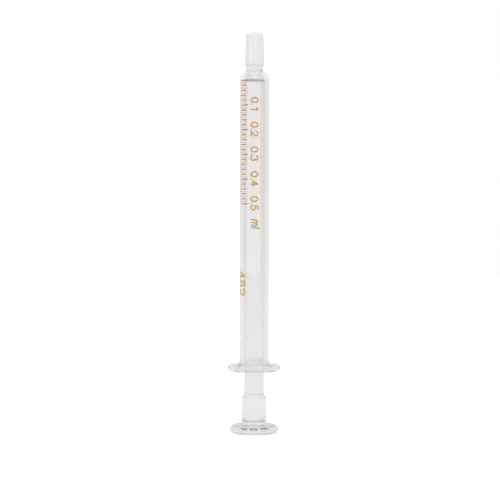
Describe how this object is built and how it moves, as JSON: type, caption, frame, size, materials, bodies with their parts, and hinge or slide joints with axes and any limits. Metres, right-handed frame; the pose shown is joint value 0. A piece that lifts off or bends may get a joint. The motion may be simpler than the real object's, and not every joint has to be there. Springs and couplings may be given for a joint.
{
  "type": "glass syringe with a luer tip",
  "caption": "All-glass precision syringe with a ground plunger in a graduated barrel, a round finger flange, a thumb knob and a conical Luer tip.",
  "frame": {"origin": "centre of the flat underside of the thumb knob, on the surface that the syringe stands on, with the plunger pushed home", "axes": "+Z along the common axis of barrel and plunger, from the thumb knob to the Luer tip; -Y is the side that the scale's numbers face"},
  "size_m": [0.0124, 0.0124, 0.0938],
  "materials": {
    "clear_glass": "clear, fire-polished",
    "ground_glass": "fine ground on the rod, neck and collar, clear at the thumb knob",
    "amber_print": "fired amber ink of the scale and its numbers"
  },
  "bodies": {
    "barrel": {"barrel": "clear_glass"},
    "plunger": {"plunger": "ground_glass"}
  },
  "joints": [
    {"name": "plunger_slide", "type": "slide", "parent": "barrel", "child": "plunger", "axis": [0, 0, -1], "range_m": [0, 0.067]}
  ]
}
